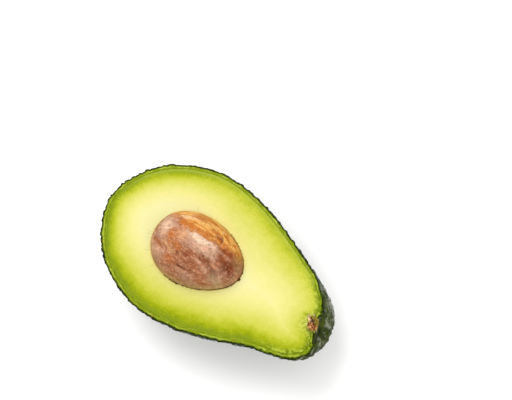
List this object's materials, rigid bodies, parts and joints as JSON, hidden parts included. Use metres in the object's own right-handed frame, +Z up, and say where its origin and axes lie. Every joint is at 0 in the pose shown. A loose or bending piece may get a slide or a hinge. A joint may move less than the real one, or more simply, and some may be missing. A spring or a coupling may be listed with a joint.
{
  "type": "halved avocado",
  "caption": "Half avocado, cut lengthwise and lying cut face up: pebbled skin round smooth flesh, the seed still in its hollow, and a stub of stem at the narrow end.",
  "frame": {"origin": "on the small flat spot under the skin that the half rests on, straight below its centre of mass", "axes": "+Z up, square to the cut face; +X along the fruit, towards the stem end; the stem end slants back towards +Y"},
  "size_m": [0.1051, 0.0656, 0.0463],
  "materials": {
    "skin": "semi-gloss, pebbled",
    "flesh": "smooth, moist, satin",
    "seed_coat": "papery, satin",
    "stem_wood": "dry, fibrous, matte"
  },
  "bodies": {
    "root": {"peel": "skin", "flesh": "flesh", "seed": "seed_coat", "stem": "stem_wood"}
  },
  "joints": []
}
